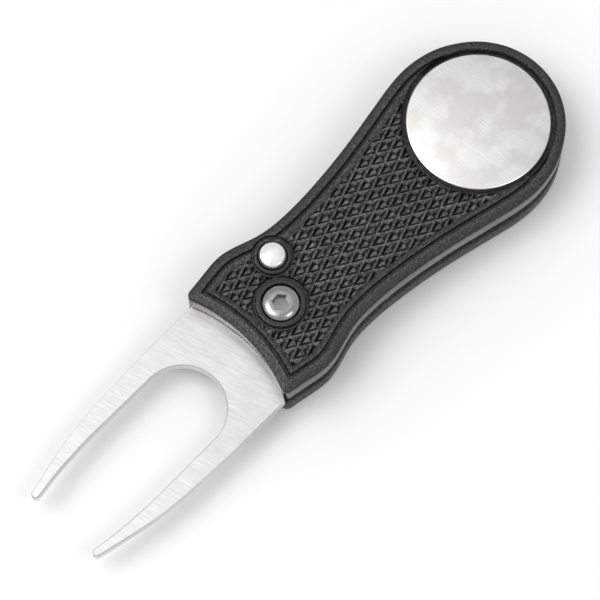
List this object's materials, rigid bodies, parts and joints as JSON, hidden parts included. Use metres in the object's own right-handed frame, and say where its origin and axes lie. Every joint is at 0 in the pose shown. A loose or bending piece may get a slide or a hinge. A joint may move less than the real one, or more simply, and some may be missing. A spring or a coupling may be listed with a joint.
{
  "type": "divot repair tool",
  "caption": "Folding golf divot repair tool: steel fork that swings out of a slim handle, with a push-button lock and a magnetic ball marker.",
  "frame": {"origin": "on the fork's pivot axis, at the level of the back face", "axes": "+X from the pivot towards the ball marker, +Z out of the grip face, +Y towards the lock button's side"},
  "size_m": [0.1147, 0.0316, 0.0118],
  "materials": {
    "black_plastic": "moulded, fine satin grain",
    "frame_metal": "satin, bead blasted",
    "brushed_steel": "brushed along the length",
    "polished_steel": "turned and polished",
    "spring_steel": "drawn wire",
    "slide_ring": "natural low-friction plastic",
    "cup_steel": "zinc plated",
    "magnet_nickel": "nickel plated",
    "screw_steel": "zinc plated"
  },
  "bodies": {
    "handle": {"top_shell": "black_plastic", "mid_frame": "frame_metal", "bottom_shell": "black_plastic", "head_spacer": "black_plastic", "stop_pin": "polished_steel", "pivot_screw": "polished_steel", "pivot_barrel": "polished_steel", "pivot_washer_upper": "slide_ring", "pivot_washer_lower": "slide_ring", "opening_spring": "spring_steel", "button_spring": "spring_steel", "marker_magnet": "magnet_nickel", "magnet_cup": "cup_steel", "shell_screw_1": "screw_steel", "shell_screw_2": "screw_steel", "shell_screw_3": "screw_steel", "recess_screw_1": "screw_steel", "recess_screw_2": "screw_steel"},
    "fork": {"fork": "brushed_steel"},
    "button": {"lock_button": "polished_steel", "lock_plunger": "polished_steel"},
    "marker": {"ball_marker": "brushed_steel"}
  },
  "joints": [
    {"name": "fork_pivot", "type": "hinge", "parent": "handle", "child": "fork", "pos_m": [0, 0, 0.0054], "axis": [0, 0, 1], "range_deg": [0, 178], "stiffness_Nm_per_rad": 0.008, "springref_deg": -40.11, "deforming": ["opening_spring"]},
    {"name": "button_press", "type": "slide", "parent": "handle", "child": "button", "axis": [0, 0, -1], "range_m": [0, 0.001], "stiffness_N_per_m": 400, "springref_m": -0.0008, "deforming": ["button_spring"]},
    {"name": "marker_lift", "type": "slide", "parent": "handle", "child": "marker", "axis": [0, 0, 1], "range_m": [0, 0.015]}
  ]
}
